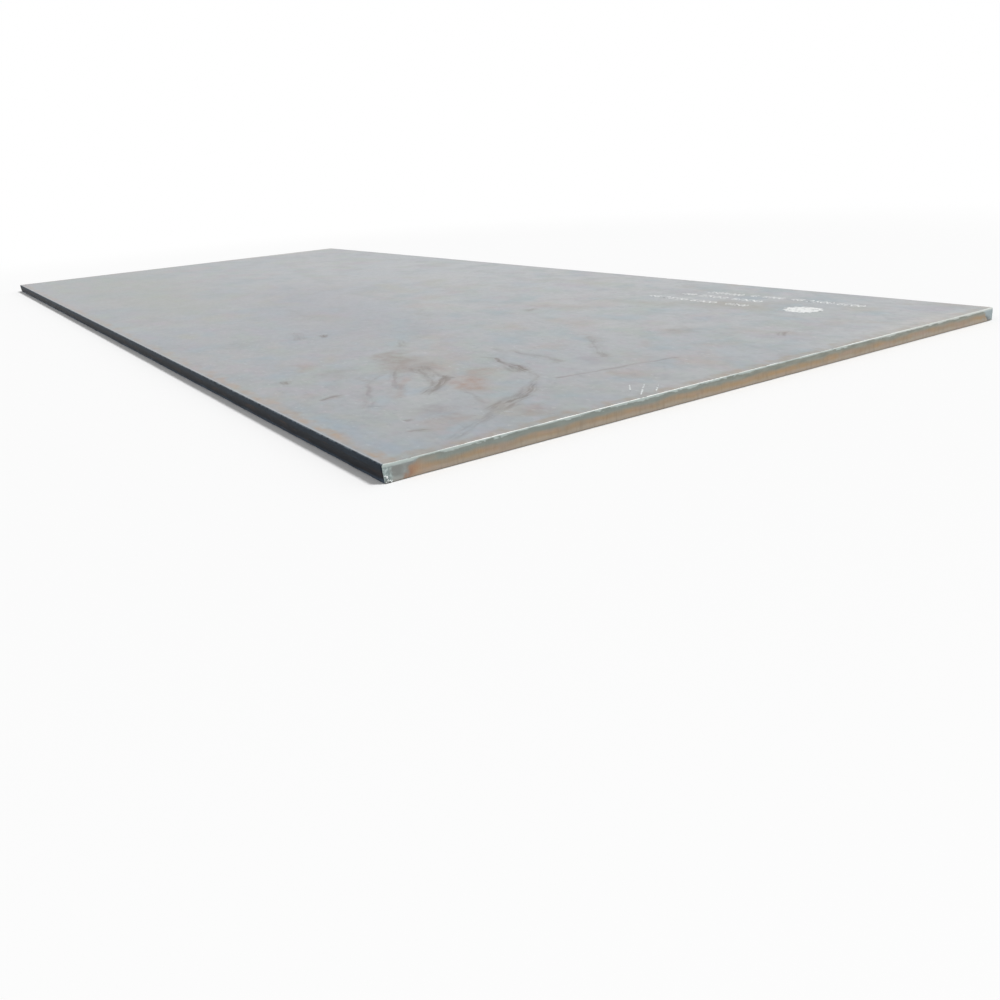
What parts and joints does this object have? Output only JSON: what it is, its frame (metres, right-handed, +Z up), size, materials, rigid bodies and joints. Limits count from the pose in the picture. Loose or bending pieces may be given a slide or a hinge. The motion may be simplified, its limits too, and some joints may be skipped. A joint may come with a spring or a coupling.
{
  "type": "steel plate",
  "caption": "Heavy hot-rolled steel plate with sheared long sides, torch-cut ends and burnt corner facets, covered in pale grey mill scale with light rust.",
  "frame": {"origin": "middle of the underside, which rests on the floor", "axes": "+X across the plate towards the corners where the torch starts, +Y along the plate (rolling direction), +Z up through its thickness"},
  "size_m": [2.5, 6, 0.048],
  "materials": {
    "hot_rolled_steel": "hot-rolled mill scale with a thin rust film, flame-cut ends and sheared sides"
  },
  "bodies": {
    "root": {"steel_plate": "hot_rolled_steel"}
  },
  "joints": []
}
